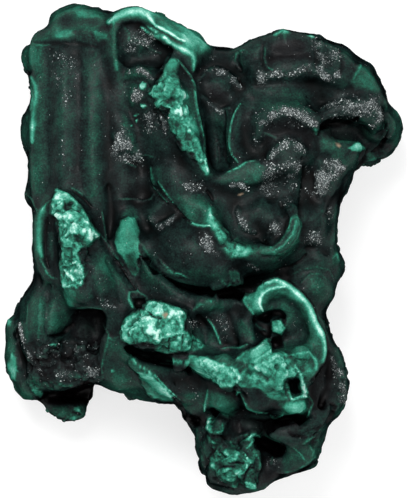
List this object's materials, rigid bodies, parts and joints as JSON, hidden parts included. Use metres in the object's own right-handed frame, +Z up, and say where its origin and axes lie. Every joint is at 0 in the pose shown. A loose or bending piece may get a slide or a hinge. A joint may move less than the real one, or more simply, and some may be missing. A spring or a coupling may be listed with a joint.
{
  "type": "malachite specimen",
  "caption": "Botryoidal malachite hand specimen, lying on a flat back, with folded flutes, smooth lobes, pale broken crests and deep hollows.",
  "frame": {"origin": "middle of the outline, on the flat back that the specimen lies on", "axes": "+Z up out of the face, +Y towards the top of the specimen, +X to the right as the face is looked at"},
  "size_m": [0.0644, 0.079, 0.037],
  "materials": {
    "malachite": "satin, with a fine sparkling druse and paler broken ground"
  },
  "bodies": {
    "root": {"malachite": "malachite"}
  },
  "joints": []
}
